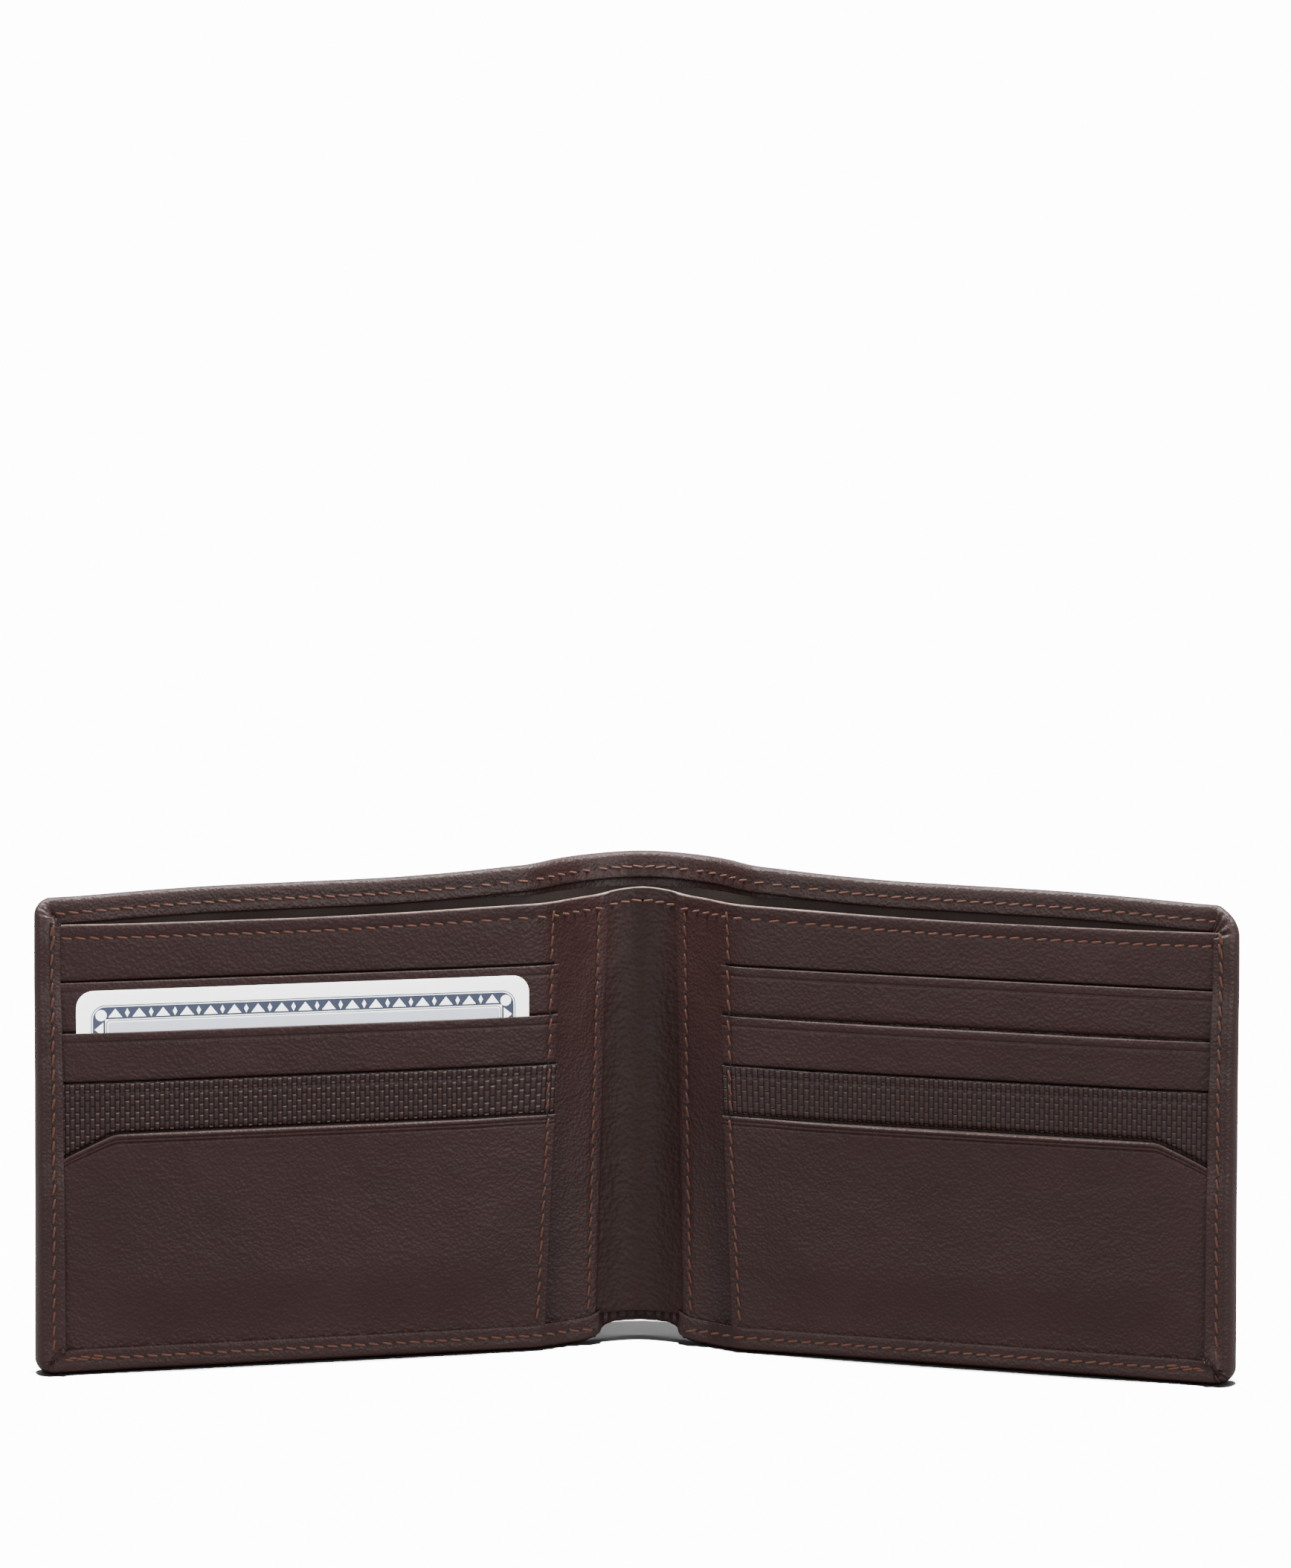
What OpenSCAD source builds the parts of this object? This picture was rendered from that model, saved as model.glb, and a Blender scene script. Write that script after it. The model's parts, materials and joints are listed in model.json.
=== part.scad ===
// Bifold wallet standing open in a shallow V. An outer leather shell and its lining make the bill
// compartment; each leaf holds a stack of card pockets; a card sits in the second slot on the left.
// Up is +Z, the inside faces -Y, and the spine is at the back. Lengths are in millimetres.

/* [Wallet] */
// Height of the outer shell
wallet_h = 89; // [87:0.5:94]
// Length of one leaf, from its hinge line to its outer edge
leaf_l = 107.8; // [106:0.2:112]
// Distance from the middle of the spine to each hinge line
hinge_x = 7.5; // [7.5:0.1:9]
// Angle that each leaf is turned forward from flat
rest_angle = 16.5; // [5:0.5:24]
// Radius of the outer corners
corner_r = 3; // [1:0.5:5]

/* [Shell] */
// Thickness of the shell leather
shell_t = 1.1; // [0.9:0.1:1.2]
// Thickness of the leather where it is turned over as a hem
hem_t = 0.7; // [0.5:0.1:0.8]
// Width of the hem along the outer edge of a leaf
side_hem_w = 4.6; // [4:0.1:6]
// Height of the hem along the bottom edge
bottom_hem_h = 4.8; // [4:0.1:6]
// Height of the hem along the mouth of the bill compartment
top_hem_h = 4.9; // [4:0.1:4.9]
// Thickness of the reinforcement between the shell leather and its lining
stiffener_t = 0.35; // [0.2:0.05:0.4]
// Thickness of the lining fabric
lining_t = 0.25; // [0.15:0.05:0.3]
// Depth of the bill compartment at the hinge line
bill_gap_spine = 4.8; // [4.6:0.1:7]
// Depth of the bill compartment at the outer edge
bill_gap_edge = 0.8; // [0.8:0.1:2]

// Depth that the spine shell bows backwards
shell_bow = 5.5; // [4.5:0.1:6]
// Depth of the hollow of the inner spine strip
strip_bow = 3; // [1:0.1:3]

/* [Card pockets] */
// Height of the inner panel's top edge
panel_top = 84; // [82:0.5:85]
// Thickness of the inner panel's leather
panel_t = 0.75; // [0.6:0.05:0.8]
// Height of the uppermost pocket edge
pocket_top = 72.6; // [70:0.1:74]
// Step from one pocket edge down to the next
pocket_step = 9.3; // [9:0.1:10]
// Height of a pocket from its edge to its base seam
pocket_depth = 46.3; // [46:0.1:47]
// Height of the leather or woven facing along a pocket edge
facing_h = 15; // [12:0.5:18]
// Thickness of a pocket facing
facing_t = 0.4; // [0.3:0.05:0.4]
// Thickness of the fabric body behind a facing
body_t = 0.2; // [0.15:0.05:0.2]
// Clear depth of a card slot
slot_t = 0.86; // [0.84:0.01:0.88]
// Thickness of the front pocket's leather
front_t = 0.75; // [0.6:0.05:0.75]
// Thickness of the front pocket's lining
front_lining_t = 0.15; // [0.1:0.05:0.15]
// Length and drop of the slanted end of the front pocket's edge
front_slant = [10, 4.8]; // [3:0.1:12]

/* [Seams] */
// Distance from the hinge line to the foot of the spine-side seam
spine_seam_u = 2.15; // [2.15:0.05:3]
// Distance that the spine-side seam leans towards the spine over the wallet's height
spine_seam_lean = 1.2; // [0:0.1:1.2]
// Distance from the hinge line to the foot of the pockets' side seam
pocket_seam_u = 11.85; // [11:0.05:13]
// Distance that the pockets' side seam leans towards the spine over the wallet's height
pocket_seam_lean = 3.4; // [0:0.1:4]
// Distance that the pockets run past their side seam
pocket_margin = 1.7; // [1:0.1:2.5]
// Distance of the hem seam from the outer edge
hem_seam = 2.9; // [2:0.1:3.5]
// Distance from one stitch to the next
stitch_pitch = 2.6; // [2.4:0.1:3.2]
// Length of a stitch
stitch_l = 2; // [1.6:0.1:2.2]
// Thickness of the thread
thread_d = 0.5; // [0.3:0.05:0.6]
// Height that a stitch stands above the leather
stitch_h = 0.15; // [0.1:0.05:0.15]

/* [Card] */
// Width, thickness and height of the card
card_size = [85.6, 0.76, 54]; // [0.5:0.01:86]
// Radius of the card's corners
card_r = 3.18; // [2:0.01:4]

/* [Hidden] */

shell_brown = [0.25, 0.18, 0.17];
panel_brown = [0.24, 0.18, 0.18];
spine_brown = [0.21, 0.16, 0.15];
fabric_brown = [0.16, 0.12, 0.11];
woven_brown = [0.26, 0.20, 0.18];
board_grey = [0.45, 0.40, 0.36];
thread_rust = [0.45, 0.25, 0.18];
card_white = [0.93, 0.94, 0.96];

clear = 0.05;            // room between neighbouring layers and edges
hinge_room = 0.15;       // room between a leaf's end and its hinge line
far = 30;                // reach of a cutting block past the layers
edge_turn = 0.8;         // a facing's turned edge above its fabric body
panel_seam_drop = 2.6;   // from the panel's top edge to its stitching
post_step = 2;           // stitches between the threads at the foot of a pocket

// Depths in a leaf, from the back of the inner panel (0) towards the inside (negative)
panel_front = -(lining_t + panel_t);
pocket_pitch = slot_t + body_t + facing_t;
function pocket_front(i) = panel_front - i * pocket_pitch;
function pocket_edge(i) = pocket_top - (i - 1) * pocket_step;
front_lining_back = pocket_front(3) - slot_t;
stack_front = front_lining_back - front_lining_t - front_t;
low_hem_back = panel_front - clear;
low_hem_front = low_hem_back - hem_t;

backing_t = lining_t + stiffener_t;
// Depth of the shell's lining, leather and outer face behind a point at distance u along the leaf
function bill_gap(u) = bill_gap_spine + (bill_gap_edge - bill_gap_spine) * u / leaf_l;
function shell_in(u) = bill_gap(u) + backing_t;
function shell_out(u) = shell_in(u) + shell_t;

// Distances from the hinge line to the leaning seams and to the pockets' ends at height z
function spine_seam(z) = spine_seam_u - spine_seam_lean * z / wallet_h;
function pocket_seam(z) = pocket_seam_u - pocket_seam_lean * z / wallet_h;
function pocket_end(z) = pocket_seam(z) - pocket_margin;
step_u = pocket_end(0) - clear;
hem_u = leaf_l - side_hem_w;
tuck_u = leaf_l - shell_t - 0.25;
side_hem_top = wallet_h - 2;
top_hem_z = wallet_h - top_hem_h;
base_z = shell_t + clear;

// The spine: a shell that bows backwards, and an inner strip that is hollow
spine_half = hinge_x - 0.1;
spine_back = shell_out(0) + shell_bow;
strip_z = 5;
notch_h = 2.2;
notch_low = 0.6;
front_reach = leaf_l * sin(rest_angle) - stack_front * cos(rest_angle);
hinge_y = (front_reach - spine_back) / 2;

// Puts a leaf's piece in place: x runs out along the leaf, y points backwards
module on_right() translate([hinge_x, hinge_y, 0]) rotate([0, 0, -rest_angle]) children();
module on_left() mirror([1, 0, 0]) on_right() children();
module on_spine() translate([0, hinge_y, 0]) children();

// A layer of a leaf: an upright outline with a front and a back depth
module layer(front, back)
    translate([0, back, 0]) rotate([90, 0, 0]) linear_extrude(back - front) children();
module box(low, high) translate(low) cube(high - low);

// A strip that follows the slanted shell, between two depths behind its lining's face
module along_shell(u0, u1, z0, z1, from, to)
    translate([0, 0, z0]) linear_extrude(z1 - z0) polygon([
        [u0, bill_gap(u0) + from], [u1, bill_gap(u1) + from],
        [u1, bill_gap(u1) + to], [u0, bill_gap(u0) + to]
    ]);

module rounded_rectangle(low, high, r) {
    translate([low.x + r, low.y]) square([high.x - low.x - 2 * r, high.y - low.y]);
    translate([low.x, low.y + r]) square([high.x - low.x, high.y - low.y - 2 * r]);
    for (x = [low.x + r, high.x - r], y = [low.y + r, high.y - r])
        translate([x, y]) circle(r, $fn = 48);
}

// The shell's outline: square at the hinge line, rounded at the two outer corners
module leaf_outline() {
    rounded_rectangle([leaf_l / 2, 0], [leaf_l, wallet_h], corner_r);
    translate([hinge_room, 0]) square([leaf_l * 0.75, wallet_h]);
}

// One leaf of the shell with its three turned hems
module leaf_shell() color(shell_brown) intersection() {
    layer(-far, far) leaf_outline();
    union() {
        along_shell(hinge_room, leaf_l, 0, wallet_h, backing_t, backing_t + shell_t);
        along_shell(hinge_room, leaf_l, top_hem_z, wallet_h, 0, backing_t + shell_t);
        box([leaf_l - shell_t, stack_front, 0], [leaf_l, shell_in(leaf_l) + shell_t / 2, side_hem_top]);
        box([hem_u, stack_front, 0], [leaf_l, stack_front + hem_t, side_hem_top]);
        linear_extrude(shell_t) polygon([
            [hinge_room, low_hem_front], [step_u - hem_t, low_hem_front],
            [step_u - hem_t, stack_front], [leaf_l, stack_front],
            [leaf_l, shell_out(leaf_l)], [hinge_room, shell_out(hinge_room)]
        ]);
        box([step_u - hem_t, stack_front, 0], [leaf_l, stack_front + hem_t, bottom_hem_h]);
        box([step_u - hem_t, stack_front, 0], [step_u, low_hem_back, bottom_hem_h]);
        box([hinge_room, low_hem_front, 0], [step_u, low_hem_back, bottom_hem_h]);
    }
}

// The lining of the bill compartment's outer wall, and the reinforcement behind it
module shell_lining() color(fabric_brown)
    along_shell(hinge_room, tuck_u, base_z, top_hem_z - clear, 0, lining_t);

module stiffener() color(board_grey)
    along_shell(hinge_room + 1, tuck_u, base_z, top_hem_z - clear, lining_t, backing_t);

module compartment_lining() color(fabric_brown)
    box([hinge_room, -lining_t, base_z], [tuck_u, 0, panel_top - 1]);

module inner_panel() color(panel_brown)
    box([hinge_room, panel_front, base_z], [tuck_u, -lining_t, panel_top]);

// Card pocket i, from 1 at the top to 3: a fabric body with a facing along its edge
module pocket_panel(front, back, z0, z1) layer(front, back)
    polygon([[pocket_end(z0), z0], [tuck_u, z0], [tuck_u, z1], [pocket_end(z1), z1]]);

module pocket_body(i) color(fabric_brown)
    pocket_panel(pocket_front(i) + facing_t, pocket_front(i) + facing_t + body_t,
        max(pocket_edge(i) - pocket_depth, bottom_hem_h), pocket_edge(i) - edge_turn);

module pocket_facing(i, colour) color(colour)
    pocket_panel(pocket_front(i), pocket_front(i) + facing_t, pocket_edge(i) - facing_h, pocket_edge(i));

module front_outline(u1, z0) polygon([
    [pocket_end(0), z0], [u1, z0], [u1, pocket_edge(4) - front_slant.y],
    [u1 - front_slant.x, pocket_edge(4)], [pocket_end(pocket_edge(4)), pocket_edge(4)],
    [pocket_end(bottom_hem_h), bottom_hem_h]
]);

module front_pocket() color(panel_brown)
    layer(stack_front, stack_front + front_t) front_outline(hem_u - clear, bottom_hem_h + clear);

module front_pocket_lining() color(fabric_brown)
    layer(front_lining_back - front_lining_t, front_lining_back) difference() {
        front_outline(hem_u - clear, base_z);
        translate([0, pocket_edge(4) - edge_turn]) square([leaf_l, far]);
    }

// Stitches along a line in a leaf, lying on the surface at the given depth
module stitch_row(start, end, depth) {
    run = end - start;
    count = floor(norm(run) / stitch_pitch);
    for (k = [0 : count - 1])
        let (p = start + run * (k + 0.5) / count)
            translate([p.x, depth - stitch_h, p.y])
                rotate([0, -atan2(run.y, run.x), 0])
                    translate([-stitch_l / 2, 0, -thread_d / 2]) cube([stitch_l, stitch_h, thread_d]);
}

module hem_stitching() color(thread_rust) {
    side_u = leaf_l - hem_seam;
    stitch_row([side_u, hem_seam + 1], [side_u, side_hem_top - 1], stack_front);
    stitch_row([step_u + 1, hem_seam], [side_u - 1, hem_seam], stack_front);
    stitch_row([hinge_room + 0.5, hem_seam], [step_u - 1.5, hem_seam], low_hem_front);
    slope = atan2(bill_gap_spine - bill_gap_edge, leaf_l);
    translate([0, bill_gap_spine, 0]) rotate([0, 0, -slope])
        stitch_row([hinge_room + 0.5, wallet_h - hem_seam], [side_u - 1, wallet_h - hem_seam], 0);
}

module panel_top_stitching() color(thread_rust)
    stitch_row([hinge_room + 0.5, panel_top - panel_seam_drop],
        [hem_u - 1, panel_top - panel_seam_drop], panel_front);

// The pockets' side seam steps forward with each pocket that it crosses
module pocket_seam_row(z0, z1, depth) stitch_row([pocket_seam(z0), z0], [pocket_seam(z1), z1], depth);

module pocket_side_stitching() color(thread_rust) {
    pocket_seam_row(pocket_edge(1) + 0.5, panel_top - 4, panel_front);
    for (i = [1 : 3])
        pocket_seam_row(pocket_edge(i + 1) + 0.5, pocket_edge(i) - 0.5, pocket_front(i));
    pocket_seam_row(bottom_hem_h + 1, pocket_edge(4) - 0.5, stack_front);
}

module spine_side_stitching() color(thread_rust) {
    low = bottom_hem_h + 1;
    high = panel_top - 4;
    stitch_row([spine_seam(low), low], [spine_seam(high), high], panel_front);
}

// Threads through the stack at the foot of each pocket, which stop a card
module pocket_base_stitching() color(fabric_brown) for (i = [1 : 3]) {
    z = max(pocket_edge(i) - pocket_depth, bottom_hem_h) - thread_d / 2;
    first = pocket_seam_u + 2;
    pitch = post_step * stitch_pitch;
    for (k = [0 : floor((hem_u - 2 - first) / pitch)])
        translate([first + k * pitch, panel_front, z])
            rotate([90, 0, 0]) cylinder(h = panel_front - pocket_front(i), d = thread_d, $fn = 16);
}

module card() color(card_white) on_left()
    layer(card_back - card_size.y, card_back)
        rounded_rectangle([card_u, card_z], [card_u + card_size.x, card_z + card_size.z], card_r);
card_back = pocket_front(1) - (slot_t - card_size.y) / 2;
card_u = hem_u - 3.5 - card_size.x;
card_z = pocket_edge(2) - pocket_depth + clear;

// An upright strip across the spine, hollow towards the front. Its front face meets the spine's
// sides at the depth front and lies deeper by bow in the middle; its layers are from and to thick.
module bowed_strip(front, bow, from, to, z0, z1) {
    r = bow_radius(bow);
    translate([0, 0, z0]) linear_extrude(z1 - z0) intersection() {
        translate([0, front + bow - r]) difference() {
            circle(r + to, $fn = 96);
            circle(r + from, $fn = 96);
        }
        translate([-spine_half, front + bow - r]) square([2 * spine_half, far]);
    }
}
function bow_radius(bow) = (spine_half * spine_half + bow * bow) / (2 * bow);

// The spine's bottom edge is arched, so that the wallet stands on its leaves
module arch() {
    r = bow_radius(notch_h - notch_low);
    translate([0, far, notch_h - r]) rotate([90, 0, 0]) cylinder(h = 2 * far, r = r, $fn = 96);
}

module spine_shell() color(shell_brown) on_spine() difference() {
    union() {
        bowed_strip(bill_gap(0), shell_bow, backing_t, backing_t + shell_t, 0, wallet_h);
        bowed_strip(bill_gap(0), shell_bow, 0, backing_t + shell_t, top_hem_z, wallet_h);
    }
    arch();
}

module spine_shell_lining() color(fabric_brown) on_spine()
    bowed_strip(bill_gap(0), shell_bow, stiffener_t, backing_t, notch_h + 1, top_hem_z - clear);

module spine_inner_leather() color(spine_brown) on_spine()
    bowed_strip(clear, strip_bow, 0, panel_t, strip_z, panel_top);

module spine_inner_lining() color(fabric_brown) on_spine()
    bowed_strip(clear, strip_bow, panel_t, panel_t + lining_t, strip_z, panel_top - 1);

// Stitches across the spine, each turned to lie against the hollow face
module bowed_stitches(front, bow, z) {
    r = bow_radius(bow);
    reach = asin((spine_half - stitch_l / 2) / r);
    count = floor(2 * reach * PI / 180 * r / stitch_pitch);
    chord = sqrt(r * r - stitch_l * stitch_l / 4);
    for (k = [0 : count - 1])
        translate([0, front + bow - r, z]) rotate([0, 0, reach * (1 - 2 * (k + 0.5) / count)])
            translate([-stitch_l / 2, chord - stitch_h - clear / 50, -thread_d / 2])
                cube([stitch_l, stitch_h, thread_d]);
}

module spine_hem_stitching() color(thread_rust) on_spine()
    bowed_stitches(bill_gap(0), shell_bow, wallet_h - hem_seam);

module spine_top_stitching() color(thread_rust) on_spine()
    bowed_stitches(clear, strip_bow, panel_top - panel_seam_drop);

spine_shell();
spine_shell_lining();
spine_inner_leather();
spine_inner_lining();
spine_hem_stitching();
spine_top_stitching();
card();
on_left() leaf_shell();  // left_shell
on_left() stiffener();  // left_stiffener
on_left() shell_lining();  // left_shell_lining
on_left() compartment_lining();  // left_compartment_lining
on_left() inner_panel();  // left_inner_panel
on_left() pocket_body(1);  // left_pocket_1_body
on_left() pocket_facing(1, panel_brown);  // left_pocket_1_facing
on_left() pocket_body(2);  // left_pocket_2_body
on_left() pocket_facing(2, panel_brown);  // left_pocket_2_facing
on_left() pocket_body(3);  // left_pocket_3_body
on_left() pocket_facing(3, woven_brown);  // left_pocket_3_woven_band
on_left() front_pocket_lining();  // left_front_pocket_lining
on_left() front_pocket();  // left_front_pocket
on_left() hem_stitching();  // left_hem_stitching
on_left() panel_top_stitching();  // left_panel_top_stitching
on_left() pocket_side_stitching();  // left_pocket_side_stitching
on_left() spine_side_stitching();  // left_spine_side_stitching
on_left() pocket_base_stitching();  // left_pocket_base_stitching
on_right() leaf_shell();  // right_shell
on_right() stiffener();  // right_stiffener
on_right() shell_lining();  // right_shell_lining
on_right() compartment_lining();  // right_compartment_lining
on_right() inner_panel();  // right_inner_panel
on_right() pocket_body(1);  // right_pocket_1_body
on_right() pocket_facing(1, panel_brown);  // right_pocket_1_facing
on_right() pocket_body(2);  // right_pocket_2_body
on_right() pocket_facing(2, panel_brown);  // right_pocket_2_facing
on_right() pocket_body(3);  // right_pocket_3_body
on_right() pocket_facing(3, woven_brown);  // right_pocket_3_woven_band
on_right() front_pocket_lining();  // right_front_pocket_lining
on_right() front_pocket();  // right_front_pocket
on_right() hem_stitching();  // right_hem_stitching
on_right() panel_top_stitching();  // right_panel_top_stitching
on_right() pocket_side_stitching();  // right_pocket_side_stitching
on_right() spine_side_stitching();  // right_spine_side_stitching
on_right() pocket_base_stitching();  // right_pocket_base_stitching
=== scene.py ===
"""The looks of the bifold wallet: leather, woven bands, stitches and the card, over its CAD part."""

import json
import math

import bmesh
import bpy
import numpy as np
from mathutils import Matrix, Vector


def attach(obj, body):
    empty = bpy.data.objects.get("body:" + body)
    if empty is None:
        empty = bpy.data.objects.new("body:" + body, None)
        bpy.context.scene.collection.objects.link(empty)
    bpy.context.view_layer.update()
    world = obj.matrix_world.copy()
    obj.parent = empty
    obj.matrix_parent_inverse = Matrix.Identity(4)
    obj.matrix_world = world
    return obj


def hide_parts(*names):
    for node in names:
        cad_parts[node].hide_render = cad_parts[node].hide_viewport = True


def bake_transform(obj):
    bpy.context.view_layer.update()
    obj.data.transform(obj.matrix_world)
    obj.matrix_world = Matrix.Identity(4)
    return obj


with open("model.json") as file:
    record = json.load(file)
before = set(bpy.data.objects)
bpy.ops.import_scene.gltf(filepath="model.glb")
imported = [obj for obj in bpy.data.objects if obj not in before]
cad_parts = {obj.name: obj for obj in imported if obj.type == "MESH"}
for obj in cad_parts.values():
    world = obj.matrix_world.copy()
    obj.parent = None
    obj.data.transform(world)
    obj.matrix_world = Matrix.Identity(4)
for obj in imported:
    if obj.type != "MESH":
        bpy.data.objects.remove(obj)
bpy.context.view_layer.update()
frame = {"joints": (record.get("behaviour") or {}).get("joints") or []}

# Lengths are in millimetres up to the last step, which puts a piece's points in the shared frame.
# A leaf has its own coordinates: a runs from its hinge line out to its edge and is negative on the
# spine, z is up, and w is the depth behind the inner panel's back.
METRE = 0.001
REST = math.radians(16.5)
HINGE_X = 7.5
HINGE_Y = frame["joints"][0]["pos_m"][1] / METRE
LEAF = 107.8
HEIGHT = 89.0
PANEL_TOP = 84.0
POCKET_STEP = 9.3
POCKET_TOPS = [72.6, 63.3, 54.0, 44.7]
FIRST_POCKET = PANEL_TOP - POCKET_TOPS[0]
FACING_HEIGHT = 15
POCKET_DEPTH = 46.3
SIDES = {"left": -1, "right": 1}

# The leaf's middle line is straight, and turns on an arc across the spine
ARC_END = 6.0
ARC_R = (HINGE_X + ARC_END * math.cos(REST)) / math.sin(REST)
MIDDLE = ARC_END - ARC_R * REST
ARC_Y = HINGE_Y - ARC_END * math.sin(REST) + ARC_R * (1 - math.cos(REST))

# Seams on a leaf at its foot, and how far each leans towards the spine at the top
SPINE_SEAM = 2.6
POCKET_SEAM = 13.4
POCKET_END = POCKET_SEAM - 1.7
PANEL_END = SPINE_SEAM - 1.75
LEAN_AT = [MIDDLE, PANEL_END, SPINE_SEAM + 1, POCKET_END, POCKET_SEAM + 1.7, 27, 130]
LEAN_BY = [0, -3.4, -3.4, -4.9, -4.9, 0, 0]
HEM_SEAM = 2.9
PANEL_SEAM = 2.6
SIDE_HEM = 5.3
BOTTOM_HEM = 4.8
TOP_HEM = 4.9
UNDER_HEM = LEAF - 1.6

# Thickness of the shell with its lining, of a turned hem, of the top hem and of the foot of the spine
SHELL_T = 1.7
HEM_T = 0.85
TOP_T = 2.45
ARCH_T = 1.9

STITCH_PITCH = 2.6
STITCH = 2.25
THREAD_R = 0.26
HOLE_R = (0.42, 0.27)
# How far a thread's middle lies under a hem's surface
SUNK = 0.12

# One float of the woven bands, in its column
FLOAT_LONG = 2.1
FLOAT_WIDE = 0.92


def smooth(t):
    """A step from 0 to 1 that starts and ends level."""
    t = np.clip(t, 0, 1)
    return t * t * (3 - 2 * t)


def curve(x, xs, ys):
    """A smooth line through the points (xs, ys), without overshoot."""
    x = np.asarray(x, float)
    xs = np.asarray(xs, float)
    ys = np.asarray(ys, float)
    slope = np.diff(ys) / np.diff(xs)
    tangent = np.zeros(len(xs))
    same = slope[1:] * slope[:-1] > 0
    both = np.abs(slope[1:]) + np.abs(slope[:-1]) + 1e-9
    tangent[1:-1] = np.where(same, 2 * slope[1:] * slope[:-1] * np.sign(slope[1:]) / both, 0)
    i = np.clip(np.searchsorted(xs, x) - 1, 0, len(xs) - 2)
    h = xs[i + 1] - xs[i]
    t = np.clip((x - xs[i]) / h, 0, 1)
    level = (1 + 2 * t) * (1 - t) ** 2 * ys[i] + t * t * (3 - 2 * t) * ys[i + 1]
    return level + h * t * (1 - t) ** 2 * tangent[i] + h * t * t * (t - 1) * tangent[i + 1]


def lean(a, z):
    """Distance along the leaf, with the seams leaning towards the spine."""
    return a + np.interp(a, LEAN_AT, LEAN_BY) * z / HEIGHT


def sway(a, z):
    """How far the panel bends backwards, most at the top of the spine."""
    high = 12.9 * (1 - smooth((a - MIDDLE) / 21))
    low = 2.8 * (1 - smooth((a - MIDDLE) / 11))
    rise = np.clip(z / PANEL_TOP, 0, 1.1) ** 1.3
    return low + (high - low) * rise


def gap(a, z):
    """Depth of the bill compartment, which is sewn shut at its foot and opens at its mouth."""
    high = curve(a, [MIDDLE, 4, 22, 50, 80, 100, 110], [6.9, 9.0, 8.2, 6.6, 4.4, 2.2, 1.6])
    low = curve(a, [MIDDLE, 0, 9, 110], [3.4, 2.2, 0.8, 0.3])
    rise = np.clip(z / HEIGHT, 0, 1.05) ** 1.5
    return low + (high - low) * rise


def squeeze(a, z):
    """Share of a pocket stack's loose depth that is left, least where it is sewn."""
    loose = smooth((a - 13) / 14) * smooth((104 - a) / 16) * smooth((z - 6) / 12)
    return 0.5 + 0.16 * loose


def in_front(a, z, depth):
    """w of a point at this loose depth in front of the inner panel's back."""
    return sway(a, z) - depth * squeeze(a, z)


def behind(a, z, depth):
    """w of a point at this depth behind the face of the bill compartment's lining."""
    return sway(a, z) + gap(a, z) + depth


def place(side, a, z, w):
    """Points of a leaf in the shared frame, in metres. The outer edge leans in a little at the top."""
    a, z, w = np.broadcast_arrays(a, z, w)
    a = a - 0.95 * z / HEIGHT * smooth((a - 101.5) / 4)
    turn = np.clip((a - MIDDLE) / ARC_R, -0.1, REST)
    past = np.maximum(a - ARC_END, 0)
    x = ARC_R * np.sin(turn) + past * math.cos(REST) + w * np.sin(turn)
    y = ARC_Y - ARC_R * (1 - np.cos(turn)) - past * math.sin(REST) + w * np.cos(turn)
    return np.stack([SIDES[side] * x, y, z], -1) * METRE

# ---- meshes ----

def made(name, points, faces, material, slot, shade=None, cloth_at=None):
    """An object from points and faces, with doubled points merged and its faces turned outwards.
    Its material can read shade, a number for each point that paints a highlight above zero and shade
    below zero, and cloth_at, a place on the cloth."""
    mesh = bpy.data.meshes.new(name)
    mesh.from_pydata(np.asarray(points).reshape(-1, 3).tolist(), [], faces)
    if shade is not None:
        mesh.attributes.new("shade", "FLOAT", "POINT").data.foreach_set("value", shade)
        cloth_layer = mesh.attributes.new("cloth", "FLOAT_VECTOR", "POINT")
        cloth_layer.data.foreach_set("vector", np.ravel(cloth_at))
    work = bmesh.new()
    work.from_mesh(mesh)
    bmesh.ops.remove_doubles(work, verts=work.verts, dist=2e-6)
    bmesh.ops.recalc_face_normals(work, faces=work.faces)
    work.to_mesh(mesh)
    work.free()
    mesh.polygons.foreach_set("use_smooth", [True] * len(mesh.polygons))
    mesh.set_sharp_from_angle(angle=math.radians(65))
    mesh.materials.append(material)
    piece = bpy.data.objects.new(name, mesh)
    bpy.context.scene.collection.objects.link(piece)
    return piece


def joined(parts):
    """Points and faces of many small solids together."""
    points, faces = [], []
    count = 0
    for part_points, part_faces in parts:
        points.append(part_points)
        faces += [[vertex + count for vertex in face] for face in part_faces]
        count += len(part_points)
    return np.concatenate(points), faces


def grid_faces(rows, columns, start=0):
    """Faces of a grid whose points are numbered row by row from start."""
    i, j = np.meshgrid(np.arange(rows - 1), np.arange(columns - 1), indexing="ij")
    low = (start + i * columns + j).ravel()
    return np.stack([low, low + 1, low + columns + 1, low + columns], -1).tolist()


def tube_faces(rings, around):
    """Faces between rings of points that follow one another."""
    i, j = np.meshgrid(np.arange(rings - 1), np.arange(around), indexing="ij")
    low = (i * around + j).ravel()
    side = (i * around + (j + 1) % around).ravel()
    return np.stack([low, side, side + around, low + around], -1).tolist()


def middle_wall(rows, columns):
    """Faces that close a sheet where it is cut at the middle of the spine."""
    low = np.arange(rows - 1) * columns
    back = rows * columns
    return np.stack([low, low + columns, low + columns + back, low + back], -1).tolist()


def spaced(start, end, step, edge, near=()):
    """Positions from start to end, close together at both ends and around the places in near."""
    turn = edge * (1 - np.cos(np.linspace(0, math.pi / 2, 5)))
    count = max(2, int((end - start) / step))
    parts = [start + turn, end - turn, np.linspace(start + edge, end - edge, count + 1)]
    for place_at in near:
        parts.append(place_at + np.array([-0.9, -0.5, -0.3, -0.15, 0, 0.15, 0.3, 0.5, 0.9]))
    found = np.unique(np.round(np.concatenate(parts), 4))
    inside = found[(found > start + 0.001) & (found < end - 0.001)]
    return np.concatenate([[start], inside, [end]])


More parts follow.
